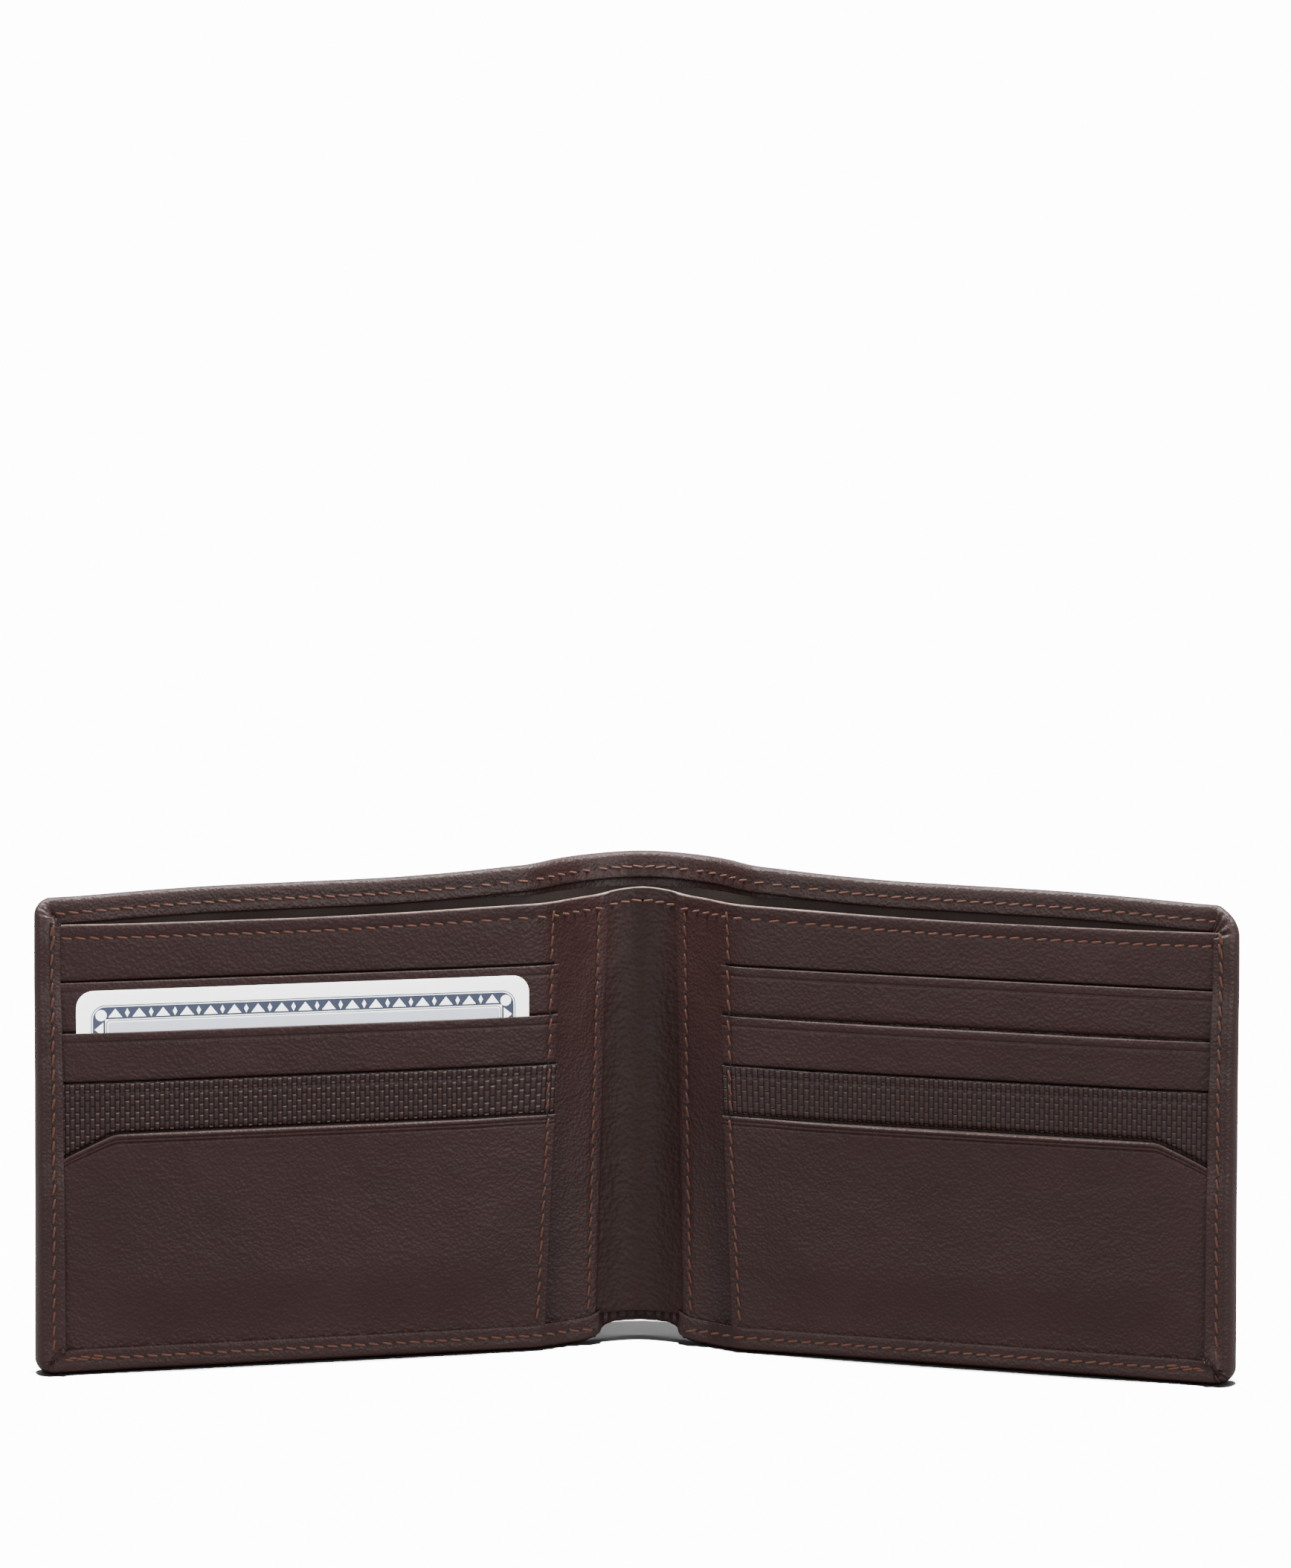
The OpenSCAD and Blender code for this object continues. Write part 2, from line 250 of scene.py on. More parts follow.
def rounded(distance, radius):
    """Share of a layer's thickness at this distance from its edge."""
    t = np.clip(distance / radius, 0, 1)
    return np.sqrt(np.clip(1 - (1 - t) ** 2, 0, 1))


def groove(distance, width, depth):
    """Depth of a soft groove at this distance from its middle."""
    return depth * np.exp(-((distance / width) ** 2))


def pocket_shine(a):
    """Share of painted highlight along a pocket's edge, which fades past its seam."""
    return 0.05 + 0.1 * smooth((a - POCKET_SEAM) / 4)


# How much of the painted highlight along each panel's edge fades towards its outer end, set for each leaf
# as the light falls on it
PANEL_FADE = {"left": 0.6, "right": 0.85}


def panel_shine(side):
    """Share of painted highlight along the panel's edge, most by the spine."""
    def shine(a):
        return 1.0 - PANEL_FADE[side] * smooth((a - 14) / 40)
    return shine


def painted_edge_light(a, e, shine, line):
    """Painted light on a sheet: above zero a painted highlight on its rolled edge, and below zero painted
    shade in the mouth above the edge of the pocket in front.
    """
    patchy = 0.75 + 0.25 * np.sin(a * 0.9) * np.sin(a * 0.37 + 1)
    shade = shine(a) * patchy * np.exp(-((e - 0.08) / 0.10) ** 2)
    if line:
        shade = shade - 0.9 * np.exp(-(line(a, e) / 0.3) ** 4)
    return shade.ravel()


def layer(name, side, material, slot, a_range, z_range, front, back, at, top=None, relief=None,
          step=2.5, near_a=(), near_z=(), soft=None, shine=pocket_shine, line=None):
    """A sheet of leather or cloth with rounded edges. front and back are its depths, at is in_front or
    behind, top(a) lowers its top edge, and relief(a, down) raises its front, down from the top edge.
    line(a, down) is the distance below the edge of the pocket in front, where a dark line of painted
    shade stands for the shadow in that pocket's mouth."""
    half_t = abs(front - back) / 2
    edge = soft or half_t
    height = z_range[1] - z_range[0]
    a, e = np.meshgrid(spaced(*a_range, step, edge, near_a), spaced(0, height, step, edge, near_z))
    head = z_range[1] - (top(lean(a, z_range[1])) if top else 0)
    z = head - e * (head - z_range[0]) / height
    share = rounded(e, edge) * rounded(height - e, edge) * rounded(a_range[1] - a, edge)
    from_middle = a_range[0] == MIDDLE
    if not from_middle:
        share *= rounded(a - a_range[0], edge)
    raised = relief(a, e) * share if relief else 0
    middle = (front + back) / 2
    towards = 1 if front > back else -1
    along = lean(a, z)
    fore = place(side, along, z, at(along, z, middle + towards * (half_t * share + raised)))
    rear = place(side, along, z, at(along, z, middle - towards * half_t * share))
    points = np.concatenate([fore.reshape(-1, 3), rear.reshape(-1, 3)])
    faces = grid_faces(*a.shape) + [face[::-1] for face in grid_faces(*a.shape, start=a.size)]
    if from_middle:
        faces += middle_wall(*a.shape)
    shade = np.tile(painted_edge_light(a, e, shine, line), 2)
    cloth_at = np.tile(np.stack([e, a, 0 * a], -1).reshape(-1, 3), (2, 1))
    return made(name, points, faces, material, slot, shade, cloth_at)

# ---- materials ----

def shader(name):
    material = bpy.data.materials.new(name)
    material.use_nodes = True
    nodes = material.node_tree.nodes
    return material, nodes, material.node_tree.links, nodes["Principled BSDF"]


def coordinates(nodes, links, scale=(1, 1, 1)):
    """Object coordinates, scaled the same or differently along the three axes."""
    source = nodes.new("ShaderNodeTexCoord")
    mapping = nodes.new("ShaderNodeMapping")
    mapping.inputs["Scale"].default_value = scale
    links.new(source.outputs["Object"], mapping.inputs["Vector"])
    return mapping.outputs["Vector"]


def from_mesh(nodes, name):
    """What the mesh says at each point."""
    node = nodes.new("ShaderNodeAttribute")
    node.attribute_name = name
    return node


def noise(nodes, links, vector, scale, detail=3, rough=0.5):
    texture = nodes.new("ShaderNodeTexNoise")
    texture.inputs["Scale"].default_value = scale
    texture.inputs["Detail"].default_value = detail
    texture.inputs["Roughness"].default_value = rough
    links.new(vector, texture.inputs["Vector"])
    return texture.outputs["Fac"]


def worked_out(nodes, links, operation, *values):
    """The result of an operation on numbers and other nodes' results."""
    node = nodes.new("ShaderNodeMath")
    node.operation = operation
    for socket, value in zip(node.inputs, values):
        if isinstance(value, int):
            socket.default_value = value
        else:
            links.new(value, socket)
    return node.outputs[0]


def ranged(nodes, links, value, low, high):
    """A value from 0 to 1 turned into one from low to high."""
    node = nodes.new("ShaderNodeMapRange")
    node.inputs["To Min"].default_value = low
    node.inputs["To Max"].default_value = high
    links.new(value, node.inputs["Value"])
    return node.outputs["Result"]


def mixed(nodes, links, factor, first, second):
    """A colour between two others, each of them a colour or another node's result."""
    mix = nodes.new("ShaderNodeMix")
    mix.data_type = "RGBA"
    links.new(factor, mix.inputs["Factor"])
    for name, colour in (("A", first), ("B", second)):
        if isinstance(colour, tuple):
            mix.inputs[name].default_value = (*colour, 1)
        else:
            links.new(colour, mix.inputs[name])
    return mix.outputs["Result"]


def ramp(nodes, links, factor, stops):
    node = nodes.new("ShaderNodeValToRGB")
    elements = node.color_ramp.elements
    elements[0].position, elements[0].color = stops[0][0], (*stops[0][1], 1)
    elements[1].position, elements[1].color = stops[-1][0], (*stops[-1][1], 1)
    for position, colour in stops[1:-1]:
        elements.new(position).color = (*colour, 1)
    links.new(factor, node.inputs["Fac"])
    return node.outputs["Color"]


def bump(nodes, links, height, strength, distance, under=None):
    node = nodes.new("ShaderNodeBump")
    node.inputs["Strength"].default_value = strength
    node.inputs["Distance"].default_value = distance
    links.new(height, node.inputs["Height"])
    if under:
        links.new(under, node.inputs["Normal"])
    return node.outputs["Normal"]


# Colour of the painted highlight on rolled edges
PAINTED_HIGHLIGHT = (0.42, 0.31, 0.26)
# Colour of the painted shade in the mouths above the pockets' edges
PAINTED_SHADE_COLOUR = (0.0025, 0.0012, 0.001)
DARK_GAP = (0.0025, 0.0012, 0.0012)


def with_painted_shade(nodes, links, colour, shade):
    """The colour, with painted shade where the shade is below zero."""
    below = worked_out(nodes, links, "MULTIPLY", shade, -1)
    return mixed(nodes, links, below, colour, PAINTED_SHADE_COLOUR)


def leather(name, colour, grain, roughness, strength):
    """Pebbled leather: cells of about grain millimetres, creases between them and uneven colour."""
    material, nodes, links, principled = shader(name)
    vector = coordinates(nodes, links)
    cells = nodes.new("ShaderNodeTexVoronoi")
    cells.feature = "SMOOTH_F1"
    cells.inputs["Scale"].default_value = 1000 / grain
    cells.inputs["Smoothness"].default_value = 0.6
    links.new(vector, cells.inputs["Vector"])
    light = [c * 1.12 for c in colour]
    dark = [c * 0.88 for c in colour]
    tone = ramp(nodes, links, noise(nodes, links, vector, 45, 4, 0.6), [(0.3, dark), (0.7, light)])
    shade = from_mesh(nodes, "shade").outputs["Fac"]
    # Painted highlight on rolled edges where shade is above zero, painted shade where it is below
    highlighted = mixed(nodes, links, shade, tone, PAINTED_HIGHLIGHT)
    links.new(with_painted_shade(nodes, links, highlighted, shade), principled.inputs["Base Color"])
    fine = bump(nodes, links, noise(nodes, links, vector, 2600, 3), strength * 0.5, 0.00006)
    pebbles = bump(nodes, links, cells.outputs["Distance"], strength, 0.0001, fine)
    rolling = bump(nodes, links, noise(nodes, links, vector, 130, 3), strength * 0.45, 0.0006, pebbles)
    links.new(rolling, principled.inputs["Normal"])
    gloss = ranged(nodes, links, noise(nodes, links, vector, 400, 4), roughness - 0.06, roughness + 0.08)
    links.new(gloss, principled.inputs["Roughness"])
    principled.inputs["Specular IOR Level"].default_value = 0.2
    return material


def cloth(name, colour, pitch, roughness=0.8):
    """Plain fabric: a fine weave and uneven colour."""
    material, nodes, links, principled = shader(name)
    vector = coordinates(nodes, links)
    threads = noise(nodes, links, coordinates(nodes, links, (1, 1, 0.35)), 1000 / pitch, 2)
    dark = [c * 0.75 for c in colour]
    tone = ramp(nodes, links, threads, [(0.35, dark), (0.65, colour)])
    links.new(tone, principled.inputs["Base Color"])
    links.new(bump(nodes, links, threads, 0.5, 0.0001), principled.inputs["Normal"])
    uneven = noise(nodes, links, vector, 60, 2)
    grey = ramp(nodes, links, uneven, [(0.3, [roughness - 0.1] * 3), (0.7, [roughness + 0.1] * 3)])
    links.new(grey, principled.inputs["Roughness"])
    principled.inputs["Specular IOR Level"].default_value = 0.3
    return material


def painted(name, colour, roughness, spots=250, strength=0.08):
    """An even finish with slight unevenness in its gloss and surface."""
    material, nodes, links, principled = shader(name)
    vector = coordinates(nodes, links)
    uneven = noise(nodes, links, vector, spots, 3)
    links.new(bump(nodes, links, uneven, strength, 0.0001), principled.inputs["Normal"])
    light = [min(1, c * 1.03) for c in colour]
    dark = [c * 0.97 for c in colour]
    links.new(ramp(nodes, links, uneven, [(0.3, dark), (0.7, light)]), principled.inputs["Base Color"])
    principled.inputs["Roughness"].default_value = roughness
    return material


def bricks(nodes, links, vector, gap_width):
    """Fraction that is 1 between the floats of the weave and 0 on them."""
    texture = nodes.new("ShaderNodeTexBrick")
    texture.offset = 0.5
    texture.inputs["Scale"].default_value = 1
    texture.inputs["Brick Width"].default_value = FLOAT_LONG
    texture.inputs["Row Height"].default_value = FLOAT_WIDE
    texture.inputs["Mortar Size"].default_value = gap_width
    texture.inputs["Mortar Smooth"].default_value = 0.6
    links.new(vector, texture.inputs["Vector"])
    return texture.outputs["Fac"]


def weave(name, light, painted_glint):
    """Woven cloth of long floats in offset columns, with gaps between them and glints at their ends; the
    glints are a painted highlight.
    Its place along the floats and across them comes with the mesh."""
    material, nodes, links, principled = shader(name)
    vector = coordinates(nodes, links)
    where = from_mesh(nodes, "cloth").outputs["Vector"]
    shift = nodes.new("ShaderNodeMapping")
    shift.inputs["Location"].default_value = (-0.32, 0, 0)
    links.new(where, shift.inputs["Vector"])
    gaps = bricks(nodes, links, where, 0.17)
    ends = bricks(nodes, links, shift.outputs["Vector"], 0.12)
    broken = ramp(nodes, links, noise(nodes, links, vector, 700, 2), [(0.38, [0] * 3), (0.56, [1] * 3)])
    # Painted highlight: glints at the floats' ends, broken up by noise
    glint = worked_out(nodes, links, "MULTIPLY", ends, broken)
    floats = mixed(nodes, links, glint, light, painted_glint)
    colour = mixed(nodes, links, gaps, floats, DARK_GAP)
    shade = from_mesh(nodes, "shade").outputs["Fac"]
    links.new(with_painted_shade(nodes, links, colour, shade), principled.inputs["Base Color"])
    fibres = bump(nodes, links, noise(nodes, links, vector, 3500, 2), 0.3, 0.00008)
    raised = worked_out(nodes, links, "SUBTRACT", 1, gaps)
    links.new(bump(nodes, links, raised, 0.8, 0.00012, fibres), principled.inputs["Normal"])
    gloss = noise(nodes, links, vector, 900, 2)
    links.new(ramp(nodes, links, gloss, [(0.3, [0.38] * 3), (0.7, [0.6] * 3)]),
              principled.inputs["Roughness"])
    principled.inputs["Specular IOR Level"].default_value = 0.25
    return material


shell_leather = leather("shell leather", (0.0255, 0.0120, 0.0110), 0.55, 0.42, 1.0)
panel_leather = leather("panel leather", (0.0250, 0.0106, 0.0102), 0.6, 0.47, 1.2)
spine_leather = leather("spine leather", (0.0160, 0.0054, 0.0043), 0.8, 0.55, 1.2)
# One cloth in two copies: the left band's glints are painted brighter, as the light catches that band
# more
woven = {
    "left": weave("left woven band", (0.0270, 0.0106, 0.0098), (0.13, 0.088, 0.068)),
    "right": weave("right woven band", (0.0275, 0.0108, 0.0100), (0.06, 0.037, 0.028)),
}
lining = cloth("lining fabric", (0.017, 0.0088, 0.0066), 0.3)
board = cloth("reinforcement board", (0.20, 0.17, 0.14), 0.5)
thread = cloth("rust thread", (0.088, 0.032, 0.019), 0.12, 0.6)
# Needle holes are dark discs, the holes with their shade painted in
needle_hole_shade = painted("needle hole", (0.006, 0.004, 0.004), 0.9)
plastic = painted("card plastic", (0.97, 0.97, 0.985), 0.3, 900, 0.02)
print_blue = painted("card print", (0.014, 0.020, 0.040), 0.4)
print_wash = painted("card wash", (0.38, 0.41, 0.48), 0.35)


# ---- the pocket stacks ----

# Loose depths of the panel's front, of the front pocket's and of the spine strip's
PANEL_FRONT = 1.0
FRONT_FACE = 7.14
STRIP_FRONT = 0.2


def pocket_front(i):
    """Loose depth of a pocket's front."""
    return PANEL_FRONT + 1.46 * i


def mouth(a, e, amount):
    """A pocket's edge stands off a little between its two seams."""
    across = smooth((a - 14) / 30) * smooth((102 - a) / 25)
    return amount * across * np.exp(-e / 7)


def folded_edge(a, e, amount):
    """The crease along a turned edge."""
    return -groove(e - 1.75, 0.2, 0.3) + mouth(a, e, amount)


def pressed(from_edge, opening):
    """The dent that the edge of the pocket in front has pressed into the leather behind it."""
    return groove(from_edge - 0.1, 0.28 + 0.22 * opening, 0.5 + 0.25 * opening)


def below_first(a, e):
    """Distance below the first pocket's edge on the panel, which ends past the pocket's side."""
    past = 20 * (1 - smooth(a - POCKET_END))
    return e - FIRST_POCKET + 0.86 * panel_drop(a) + past


def below_next(a, e):
    """Distance on a pocket below the edge of the next."""
    return e - POCKET_STEP


def below_front(a, e):
    """Distance on the woven band below the front pocket's slanting edge."""
    return e - POCKET_STEP - front_top(a)


def panel_relief(a, e):
    """Grooves under the panel's seams."""
    sides = groove(a - SPINE_SEAM, 0.45, 0.16) + groove(a - POCKET_SEAM, 0.45, 0.12)
    sewn = groove(e - PANEL_SEAM, 0.45, 0.16) + sides
    return 0.12 * np.exp(-((e - 1.0) / 0.9) ** 2) - sewn - pressed(below_first(a, e), 0.1)


def seam_relief(opening, next_opening):
    """A pocket has a crease along its edge, a groove under its seam and a dent from the next pocket.
    The openings are how far the two mouths stand off."""
    def relief(a, e):
        dents = groove(a - POCKET_SEAM, 0.45, 0.16) + pressed(below_next(a, e), next_opening)
        return folded_edge(a, e, opening) - dents
    return relief


def woven_relief(next_opening):
    """Long floats of a coarse weave, every other column offset by half a float."""
    def relief(a, e):
        column = np.floor(a / FLOAT_WIDE)
        along = e / FLOAT_LONG + np.where(column % 2 == 0, 0.5, 0)
        across = np.abs(np.sin(math.pi * a / FLOAT_WIDE)) ** 0.5
        floats = 0.3 * across * np.abs(np.sin(math.pi * along)) ** 0.25
        dents = groove(a - POCKET_SEAM, 0.45, 0.2) + pressed(below_front(a, e), next_opening)
        return floats + folded_edge(a, e, 0.25) - dents
    return relief


SLANT_START = 93.2


def front_top(a):
    """The front pocket's edge slants down towards the outer hem."""
    past = a - SLANT_START
    return 0.235 * (past + np.sqrt(past * past + 0.9))


def panel_drop(a):
    """The inner panel's edge rises at the spine and sinks a little along the leaf."""
    return curve(a, [MIDDLE, -4, 0, 10, 22, 40, 60, 85, 110],
                 [-1.3, -1.0, -0.35, -0.3, 0, 0.55, 0.85, 0.85, 0.6])


def front_relief(opening):
    """The front pocket has a double crease along its edge and a groove under its seam."""
    def relief(a, e):
        creases = groove(e - 0.9, 0.14, 0.3) + groove(e - 1.6, 0.16, 0.35)
        return mouth(a, e, opening) - creases - groove(a - POCKET_SEAM, 0.45, 0.16)
    return relief


# How far the mouth of each pocket stands off in its middle
OPENINGS = {"left": (0.05, 0.3, 0.25, 0.9), "right": (0.25, 1.0, 0.25, 1.5)}


def leaf_layers(side):
    """The lining, inner panel and pockets of one leaf, each standing for its CAD node."""
    body = f"{side}_leaf"

    def add(node, word, material, slot, start, end, z_range, front, back, **more):
        piece = layer(f"{side}_{node}_{word}", side, material, slot, (start, end), z_range, front, back,
                      in_front, **more)
        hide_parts(f"{side}_{node}")
        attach(piece, body)

    openings = OPENINGS[side]
    behind_facing = POCKET_END + 0.2
    add("compartment_lining", "cloth", lining, "lining_fabric", PANEL_END + 0.3, UNDER_HEM, (1.2, 83),
        0.24, 0.0)
    add("inner_panel", "leather", panel_leather, "panel_leather", PANEL_END, UNDER_HEM, (1.2, PANEL_TOP),
        PANEL_FRONT, 0.26, top=panel_drop, relief=panel_relief, shine=panel_shine(side),
        near_a=(SPINE_SEAM, POCKET_END + 0.5, POCKET_SEAM),
        near_z=(0.9, PANEL_SEAM, FIRST_POCKET - 0.7, FIRST_POCKET - 0.3, FIRST_POCKET + 0.1),
        soft=0.6, line=below_first)
    for i in (1, 2, 3):
        top = POCKET_TOPS[i - 1]
        deep = pocket_front(i)
        strip = (top - FACING_HEIGHT, top)
        foot = max(top - POCKET_DEPTH, 4.9)
        add(f"pocket_{i}_body", "cloth", lining, "lining_fabric", behind_facing, UNDER_HEM,
            (foot, top - 0.9), deep - 0.42, deep - 0.6)
        if i < 3:
            add(f"pocket_{i}_facing", "leather", panel_leather, "panel_leather", POCKET_END, UNDER_HEM,
                strip, deep + 0.05, deep - 0.4, relief=seam_relief(openings[i - 1], openings[i]),
                step=1.5, near_a=(POCKET_SEAM,), near_z=(1.75, POCKET_STEP), line=below_next)
        else:
            add(f"pocket_{i}_woven_band", "cloth", woven[side], "woven_band", POCKET_END, UNDER_HEM,
                strip, deep - 0.05, deep - 0.4, step=0.2325, relief=woven_relief(openings[3]),
                near_a=(POCKET_SEAM,), line=below_front)
    add("front_pocket_lining", "cloth", lining, "lining_fabric", behind_facing, UNDER_HEM, (1.3, 43.6),
        6.38, 6.24, top=front_top)
    add("front_pocket", "leather", panel_leather, "panel_leather", POCKET_END, LEAF - 2.2,
        (1.4, POCKET_TOPS[3]), FRONT_FACE, 6.4, top=front_top, relief=front_relief(openings[3]),
        near_a=(POCKET_SEAM, SLANT_START), near_z=(0.9, 1.6), soft=0.45)


# ---- the shell ----

# The turned edges start this far in, and have this many points across
PROFILE_START = 9.0
PROFILE_COUNT = 22


def profile(thick, reach, roll):
    """Cross-sections of a turned edge, as distance in from the outline and depth from the back face.
    They start on the back, roll over the edge and end at the flange's turned end."""
    turn = np.linspace(0, math.pi, 13)
    e = [np.full_like(thick, PROFILE_START)]
    q = [np.zeros_like(thick)]
    for t in turn:
        e.append(roll * (1 - math.sin(t)) * np.ones_like(thick))
        q.append(thick / 2 * (1 - math.cos(t)))
    for share in (0.3, 0.5, 0.7, 0.9, 1):
        e.append(roll + (reach - 0.3 - roll) * share)
        q.append(thick)
    for t in (0.35, 0.7, 1.0):
        e.append(reach - 0.3 + 0.3 * math.sin(t * math.pi / 2))
        q.append(thick - 0.35 * (1 - math.cos(t * math.pi / 2)))
    return np.stack(e), np.stack(q)


def stack_at(z):
    """Depth of the sewn pocket stack under the side hem."""
    return curve(z, [0, 33, 42, 50, 55, 60, 64.5, 69, 74, 90],
                 [3.62, 3.62, 2.85, 2.75, 2.6, 2.05, 1.9, 1.3, 0.55, 0.5])


def low_stack_at(a):
    """Depth of the sewn stack under the bottom hem."""
    return curve(a, [MIDDLE, 0.5, 6, 9, 14, 110], [0.5, 0.5, 0.75, 1.7, 3.4, 3.62])


def arch(a):
    """Height of the shell's bottom edge above the floor."""
    return curve(a, [MIDDLE, -4, -1.5, 0.3, 2.5, 6, 10, 110], [3.3, 3.25, 2.7, 1.5, 0.6, 0.15, 0, 0])


def side_thick(z):
    return SHELL_T + gap(LEAF, z) + stack_at(z) + HEM_T


def bottom_thick(a):
    full = SHELL_T + gap(a, 0 * a) + low_stack_at(a) + HEM_T
    return ARCH_T + (full - ARCH_T) * smooth((a + 1.0) / 1.2)


def crown(a):
    """Height of the shell's top edge, which rises at the spine."""
    rise = curve(a, [MIDDLE, 0, 8, 15, 22, 30, 42, 70, 85, 104, 110],
                 [2.1, 1.8, 1.55, 1.2, 0.75, 0.35, 0, -0.1, -0.4, -1.0, -1.1])
    return HEIGHT + rise


# Radius of each leaf's lower and upper corner, and how much the leather puckers there
CORNERS = {"left": (3.0, 3.4), "right": (3.4, 6.0)}
PUCKERS = {"left": 0.10, "right": 0.22}


def skin_grid():
    """The grid of the shell's skin: places (a, z) on its flat part, and how many steps past that
    part's edge each point is, across and up."""
    count = PROFILE_COUNT - 1
    steps = np.arange(1, count + 1)
    near_spine = np.linspace(MIDDLE, 16, 76)
    flat_a = np.concatenate([near_spine, np.linspace(16, LEAF - PROFILE_START, 66)[1:]])
    flat_z = np.linspace(PROFILE_START, HEIGHT - PROFILE_START, 44)
    a_at = np.concatenate([flat_a, np.full(count, flat_a[-1])])
    z_at = np.concatenate([np.full(count, flat_z[0]), flat_z, np.full(count, flat_z[-1])])
    a_step = np.concatenate([np.zeros(len(flat_a)), steps])
    z_step = np.concatenate([-steps[::-1], np.zeros(len(flat_z)), steps])
    return *np.meshgrid(a_at, z_at), *np.meshgrid(a_step, z_step)


def corner_turn(ia, iz, k):
    """How far round the corner a point is, from 0 on the outer edge to 1 on the top or bottom."""
    ratio = np.minimum(ia, np.abs(iz)) / np.maximum(k, 1)
    turn = np.where(ia >= np.abs(iz), ratio / 2, 1 - ratio / 2)
    return np.where(k == 0, 0, turn)


def edge_sections(a0, z0, ia, high, turn, k):
    """Every point's distance in from the outline, and its depth from the back face."""
    edge_thick = np.where(high, TOP_T, bottom_thick(np.where(ia > 0, LEAF, a0)))
    thick = side_thick(z0) * (1 - turn) + edge_thick * turn
    thick = thick + np.where(~high & (ia > 0) & (turn > 0.5), 0.35, 0)
    reach = SIDE_HEM * (1 - turn) + np.where(high, TOP_HEM, BOTTOM_HEM) * turn
    sections = profile(thick, reach, 1.9 - 0.8 * turn)
    return [np.take_along_axis(values, k[None], 0)[0] for values in sections]


def outline_place(side, a0, z0, ia, iz, e, turn):
    """Where on the leaf the points are, round its corners and under its crown."""
    low_r, high_r = CORNERS[side]
    radius = np.where(iz > 0, high_r, low_r)
    corner = (ia > 0) & (iz != 0)
    angle = turn * math.pi / 2
    bent = np.minimum(e, radius)
    over = np.maximum(e - radius, 0)
    in_a = radius - (radius - bent) * np.cos(angle) + over
    in_z = radius - (radius - bent) * np.sin(angle) + over
    a = np.where(corner, LEAF - in_a, np.where(ia > 0, LEAF - e, a0))
    from_edge = np.where(corner, in_z, e)
    foot = arch(a0)
    head = crown(a0)
    z = np.where(iz < 0, foot + from_edge, np.where(iz > 0, head - from_edge, z0))
    lift = smooth((20 - z0) / 11) * foot + smooth((z0 - 69) / 11) * (head - HEIGHT)
    return a, z + np.where(iz == 0, lift, 0)


def hem_folds(side, a, e, ia, iz, turn, k):
    """How far the puckers at the corners, the gathers at the spine and the top hem's ripples stand
    out, less the groove of the hem's seam."""
    front = k > 9
    top = iz > 0
    corner = (ia > 0) & (iz != 0)
    across = a - MIDDLE
    puckers = PUCKERS[side] * np.sin(turn * 26) * smooth((k - 8) / 6)
    gathers = np.cos(across * 3.1 + 0.7 * np.sin(across * 0.9) ** 2) * np.cos(across * 1.37)
    folds = 0.16 * np.cos(across * 4.3 + np.sin(across * 1.7) ** 2) * smooth(-a)
    ripples = 0.05 * np.cos(across * 0.8 + 1.5 * np.sin(across * 0.3) ** 2)
    out = np.where(corner & (k > 8), puckers, 0)
    out = out + np.where(top & front & ~corner, 0.08 * gathers * (1 - smooth((a - 2) / 10)), 0)
    out = out + np.where((iz < 0) & front & (a < 0), folds, 0)
    out = out + np.where(top & front, ripples, 0)
    return out - np.where(front, groove(e - HEM_SEAM, 0.4, 0.14), 0)


def shell_skin(side):
    """The outer leather of one leaf and half the spine, from one grid that rolls over every edge."""
    a0, z0, ia, iz = skin_grid()
    k = np.maximum(ia, np.abs(iz)).astype(int)
    turn = corner_turn(ia, iz, k)
    e, q = edge_sections(a0, z0, ia, iz > 0, turn, k)
    a, z = outline_place(side, a0, z0, ia, iz, e, turn)
    w = behind(a, z, SHELL_T) - q - hem_folds(side, a, e, ia, iz, turn, k)
    return place(side, a, z, w), grid_faces(*a.shape)


def shell(side):
    """The shell of one leaf and half the spine, with its back facing outwards."""
    points, faces = shell_skin(side)
    piece = made(f"{side}_shell_leather", points, faces, shell_leather, "shell_leather")
    if piece.data.polygons[len(faces) // 2].normal.y < 0:
        piece.data.flip_normals()
    thicken(piece, 0.62)
    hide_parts(f"{side}_shell", "spine_shell")
    bend(piece)


def thicken(piece, thickness):
    """Gives a skin its thickness, inwards."""
    solid = piece.modifiers.new("thickness", "SOLIDIFY")
    solid.thickness = thickness * METRE
    solid.offset = -1
    graph = bpy.context.evaluated_depsgraph_get()
    final = bpy.data.meshes.new_from_object(piece.evaluated_get(graph))
    piece.modifiers.clear()
    piece.data = final
    final.set_sharp_from_angle(angle=math.radians(65))


# Half widths of the spine over which the shell and the inner strip turn. The script reads them only to
# mark rows of stitches that cross the spine.
SHELL_BEND = 10.0
STRIP_BEND = 5.0


def bend(piece):
    """Bakes the placement of a piece that starts at the middle of the spine into its points."""
    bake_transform(piece)


def compartment_wall(side):
    """The reinforcement and the lining of the bill compartment's outer wall."""
    stiffener = layer(f"{side}_stiffener_board", side, board, "reinforcement", (9, LEAF - 3), (4, 83.8),
                      0.34, 0.58, behind, step=4)
    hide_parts(f"{side}_stiffener")
    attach(stiffener, f"{side}_leaf")
    cover = layer(f"{side}_shell_lining_cloth", side, lining, "lining_fabric", (MIDDLE, LEAF - 2.6),
                  (3.2, 84.6), 0.0, 0.25, behind)
    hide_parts(f"{side}_shell_lining", "spine_shell_lining")
    bend(cover)


